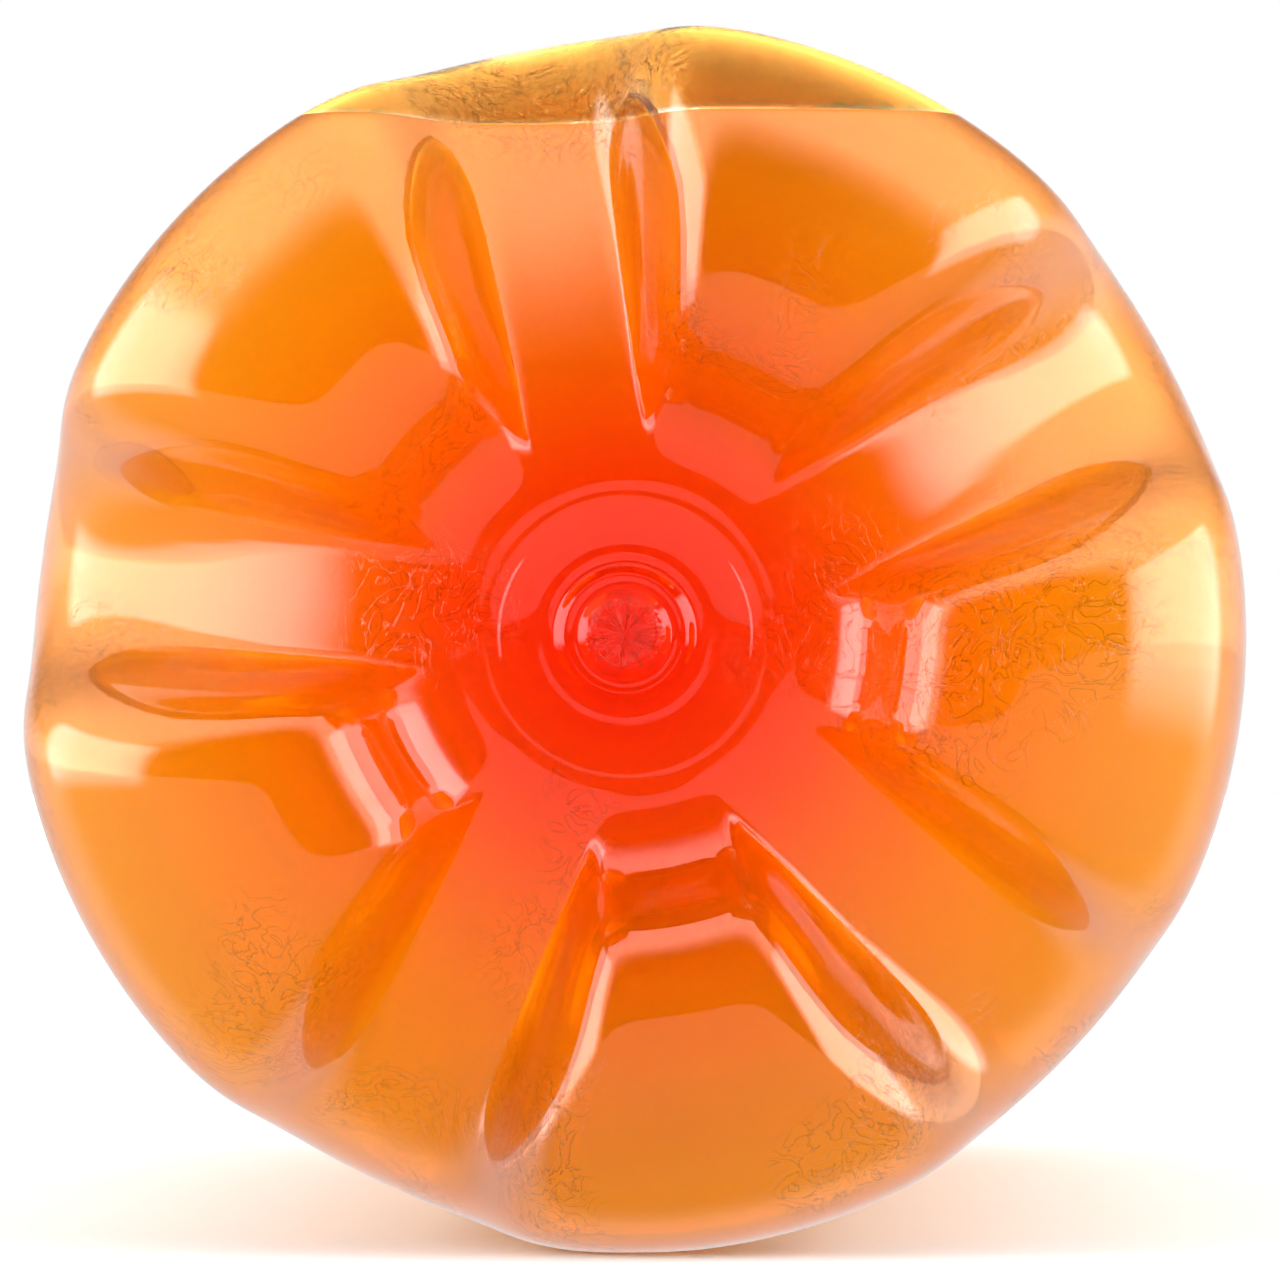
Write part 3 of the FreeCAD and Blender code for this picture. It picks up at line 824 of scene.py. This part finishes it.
def drink_film():
    """A thin film of drink that clings to the wall above the level."""
    material, tree, shader = new_material("drink_film")
    make_clear(shader, film_ior)
    runs = smooth_step(tree, noise_of(tree, own_place(tree), 120.0, 2.0), 0.35, 0.65)
    tree.links.new(mixed_colour(tree, runs, film_thin_colour, film_thick_colour),
                   shader.inputs["Base Color"])
    return material


def moulded_plastic(name, light, dark, roughness, wear_group):
    """Opaque moulded plastic: faint clouding, fine scratches and a slightly uneven gloss."""
    material, tree, shader = new_material(name)
    wear = add_wear(tree, wear_group, 260.0, 700.0)
    tree.links.new(mixed_colour(tree, wear.outputs["Waves"], light, dark),
                   shader.inputs["Base Color"])
    rough = combine(tree, "MULTIPLY", wear.outputs["Scratches"], 0.25)
    rough = combine(tree, "ADD", rough, combine(tree, "MULTIPLY", wear.outputs["Cloud"], 0.06))
    tree.links.new(combine(tree, "ADD", rough, roughness), shader.inputs["Roughness"])
    add_bump(tree, shader, wear.outputs["Waves"], 0.00008)
    return material


# ------------------------------------------------------------------ stage
def make_camera():
    """Square on to the base, a little to the right of the axis and a little below it."""
    camera = bpy.data.objects.new("camera", bpy.data.cameras.new("camera"))
    bpy.context.scene.collection.objects.link(camera)
    camera.data.sensor_width = 36
    camera.data.lens = 280
    camera.data.clip_end = 20
    gate = Vector((0, body_low.y + 0.003, axis_height / 1000))
    distance = 0.514             # metres
    swing = math.radians(1.4)
    dip = math.radians(0.7)
    camera.location = gate + distance * Vector((math.sin(swing), -math.cos(swing), -math.sin(dip)))
    aim = gate + Vector((0.00081, 0, -0.00031))
    camera.rotation_euler = (aim - camera.location).to_track_quat("-Z", "Y").to_euler()
    bpy.context.scene.camera = camera


def make_softbox(name, location, target, width, height, power):
    """An area light whose brightness falls off softly at its edges."""
    fade_start = 0.34            # share of the width from the middle; the edge is at 0.5
    light = bpy.data.lights.new(name, "AREA")
    light.shape = "RECTANGLE"
    light.size = width
    light.size_y = height
    light.energy = power
    light.use_nodes = True
    tree = light.node_tree
    emission = tree.nodes["Emission"]
    across = axes_of(tree, tree.nodes.new("ShaderNodeNewGeometry").outputs["Parametric"])
    brightness = 1.0
    for axis in ("X", "Y"):
        from_middle = combine(tree, "ABSOLUTE", combine(tree, "SUBTRACT", across[axis], 0.5))
        fade = smooth_step(tree, from_middle, 0.5, fade_start)
        brightness = combine(tree, "MULTIPLY", fade, brightness)
    tree.links.new(brightness, emission.inputs["Strength"])
    holder = bpy.data.objects.new(name, light)
    bpy.context.scene.collection.objects.link(holder)
    holder.location = location
    aim = Vector(target) - Vector(location)
    holder.rotation_euler = aim.to_track_quat("-Z", "Y").to_euler()
    holder.visible_camera = False


def make_world():
    """Surroundings whose brightness depends on the kind of ray and on its direction.

    The camera sees plain white.  What surfaces mirror is bright behind the bottle, dim
    overhead and nearly black in front.  What passes through it is far brighter than the white
    that the camera sees, except from in front.
    """
    world = bpy.data.worlds.new("studio")
    bpy.context.scene.world = world
    world.use_nodes = True
    tree = world.node_tree
    background = tree.nodes["Background"]
    heading = axes_of(tree, tree.nodes.new("ShaderNodeTexCoord").outputs["Generated"])
    mirrored = smooth_step(tree, heading["Y"], 0.1, 0.6, world_mirrored_front, world_mirrored)
    overhead = smooth_step(tree, heading["Z"], 0.05, 0.30, 1.0, world_overhead)
    mirrored = combine(tree, "MULTIPLY", mirrored, overhead)
    path = tree.nodes.new("ShaderNodeLightPath")
    strength = smooth_step(tree, heading["Y"], -0.80, -0.35, world_gathered_front,
                           world_gathered)
    for kind, value in (("Is Reflection Ray", mirrored), ("Is Diffuse Ray", world_diffuse),
                        ("Is Camera Ray", world_camera)):
        mix = tree.nodes.new("ShaderNodeMix")
        mix.data_type = "FLOAT"
        tree.links.new(path.outputs[kind], mix.inputs["Factor"])
        for socket, source in ((mix.inputs[2], strength), (mix.inputs[3], value)):
            if isinstance(source, float):
                socket.default_value = source
            else:
                tree.links.new(source, socket)
        strength = mix.outputs[0]
    tree.links.new(strength, background.inputs["Strength"])
    background.inputs["Color"].default_value = (1, 1, 1, 1)


def make_floor():
    """A pale, faintly speckled floor that surfaces don't mirror."""
    mesh = bpy.data.meshes.new("floor")
    half = 6.0                   # metres
    mesh.from_pydata([(-half, -half, 0), (half, -half, 0), (half, half, 0), (-half, half, 0)],
                     [], [(0, 1, 2, 3)])
    floor = bpy.data.objects.new("floor", mesh)
    bpy.context.scene.collection.objects.link(floor)
    material, tree, shader = new_material("pale_floor")
    speckle = noise_of(tree, own_place(tree), 40.0, 2.0)
    shade = mixed_colour(tree, speckle, (0.93, 0.93, 0.93, 1), (0.96, 0.96, 0.96, 1))
    tree.links.new(shade, shader.inputs["Base Color"])
    shader.inputs["Roughness"].default_value = 0.9
    mesh.materials.append(material)
    floor.visible_glossy = False


make_camera()
make_world()
make_floor()
panel_distance, panel_width, panel_height, panel_watts = 0.62, 1.15, 0.62, 7.0
for side, name in ((-1, "left_softbox"), (1, "right_softbox")):
    make_softbox(name, (side * panel_distance, -0.17, 0.20), (0, -0.17, 0.12),
                 panel_width, panel_height, panel_watts)

wear_group = make_wear_group()
pet = clear_plastic(wear_group)
drink_material = orange_drink()
film_material = drink_film()
cap_material = moulded_plastic("cap_plastic", cap_light, cap_dark, cap_roughness, wear_group)
liner_material = moulded_plastic("liner_plastic", liner_light, liner_dark, liner_roughness,
                                 wear_group)

bottle_skin = make_bottle_skin()
bottle_skin.data.materials.append(pet)
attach(bottle_skin, "bottle")
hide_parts("bottle")

drink_body = make_drink_body()
drink_body.data.materials.append(drink_material)
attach(drink_body, "bottle")
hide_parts("drink")

film_piece = make_film()
film_piece.data.materials.clear()
film_piece.data.materials.append(film_material)
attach(film_piece, "bottle")

thread_group = make_thread_group()
thread_start = neck_top - thread_first - length / 2
neck_thread = built_by("neck_thread", thread_group, {
    "Turns": thread_turns, "Rise": thread_turns * thread_pitch / 1000,
    "Radius": neck_radius / 1000, "Ridge Radius": (thread_radius - neck_radius) / 1000,
    "Station": thread_start / 1000, "Material": pet})
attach(neck_thread, "bottle")

rib_group = make_rib_group()
rib_shift = 0.3              # share of the margin by which the ribs lie towards the base
for node, name, body, count, radius, margin in (
        ("cap_shell", "cap_ribs", "cap", 120, 0.26, 1.3),
        ("tamper_band", "band_ribs", "band", 60, 0.20, 0.7)):
    low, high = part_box(node)
    ribs = built_by(name, rib_group, {
        "Count": count, "Ring Radius": (high.x - low.x) / 2, "Rib Radius": radius / 1000,
        "Rib Length": high.y - low.y - 2 * margin / 1000,
        "Station": (low.y + high.y) / 2 - margin * rib_shift / 1000, "Material": cap_material})
    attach(ribs, body)

for node, material in (("cap_shell", cap_material), ("cap_liner", liner_material),
                       ("tamper_band", cap_material)):
    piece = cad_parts[node]
    piece.data.materials.clear()
    piece.data.materials.append(material)

# plain colours, and enough bounces to pass through wall, drink and wall again
view = bpy.context.scene.view_settings
view.view_transform = "Standard"
view.look = "None"
cycles = bpy.context.scene.cycles
cycles.max_bounces = 32
cycles.transmission_bounces = 32
cycles.glossy_bounces = 12
cycles.volume_bounces = 24
cycles.sample_clamp_indirect = 6.0
